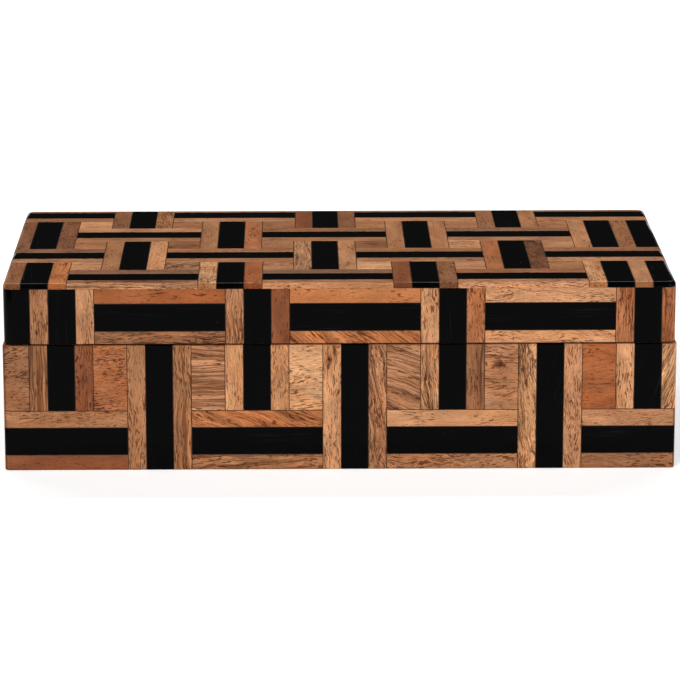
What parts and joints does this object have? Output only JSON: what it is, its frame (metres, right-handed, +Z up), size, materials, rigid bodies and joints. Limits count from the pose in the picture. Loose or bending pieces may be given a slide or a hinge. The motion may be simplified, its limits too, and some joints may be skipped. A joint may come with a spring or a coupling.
{
  "type": "storage box",
  "caption": "Rectangular wooden storage box with a hinged lid, faced with wood tiles and glossy black strips in a basket weave.",
  "frame": {"origin": "centre of the base's underside", "axes": "+X to the right and -Y to the front as seen from the front, +Z up"},
  "size_m": [0.3, 0.1615, 0.0857],
  "materials": {
    "tile_wood": "semi-gloss lacquer over warm mixed wood tiles",
    "black_inlay": "polished black strips",
    "carcass_wood": "stained and sealed wood board",
    "lining_felt": "dark red felt",
    "hinge_brass": "brushed brass, a little aged"
  },
  "bodies": {
    "base": {"base_front_board": "carcass_wood", "base_back_board": "carcass_wood", "base_left_board": "carcass_wood", "base_right_board": "carcass_wood", "base_floor_panel": "carcass_wood", "base_floor_felt": "lining_felt", "base_front_tiles": "tile_wood", "base_front_black_inlay": "black_inlay", "base_back_tiles": "tile_wood", "base_back_black_inlay": "black_inlay", "base_left_tiles": "tile_wood", "base_left_black_inlay": "black_inlay", "base_right_tiles": "tile_wood", "base_right_black_inlay": "black_inlay", "left_hinge_base_leaf": "hinge_brass", "left_hinge_base_screw_1": "hinge_brass", "left_hinge_base_screw_2": "hinge_brass", "left_hinge_pin": "hinge_brass", "right_hinge_base_leaf": "hinge_brass", "right_hinge_base_screw_1": "hinge_brass", "right_hinge_base_screw_2": "hinge_brass", "right_hinge_pin": "hinge_brass"},
    "lid": {"lid_front_rail": "carcass_wood", "lid_back_rail": "carcass_wood", "lid_left_rail": "carcass_wood", "lid_right_rail": "carcass_wood", "lid_top_panel": "carcass_wood", "lid_lining_felt": "lining_felt", "lid_front_tiles": "tile_wood", "lid_front_black_inlay": "black_inlay", "lid_back_tiles": "tile_wood", "lid_back_black_inlay": "black_inlay", "lid_left_tiles": "tile_wood", "lid_left_black_inlay": "black_inlay", "lid_right_tiles": "tile_wood", "lid_right_black_inlay": "black_inlay", "lid_top_tiles": "tile_wood", "lid_top_black_inlay": "black_inlay", "left_hinge_lid_leaf": "hinge_brass", "left_hinge_lid_screw_1": "hinge_brass", "left_hinge_lid_screw_2": "hinge_brass", "right_hinge_lid_leaf": "hinge_brass", "right_hinge_lid_screw_1": "hinge_brass", "right_hinge_lid_screw_2": "hinge_brass"}
  },
  "joints": [
    {"name": "lid_hinge", "type": "hinge", "parent": "base", "child": "lid", "pos_m": [0, 0.0804, 0.05775], "axis": [-1, 0, 0], "range_deg": [0, 95]}
  ]
}
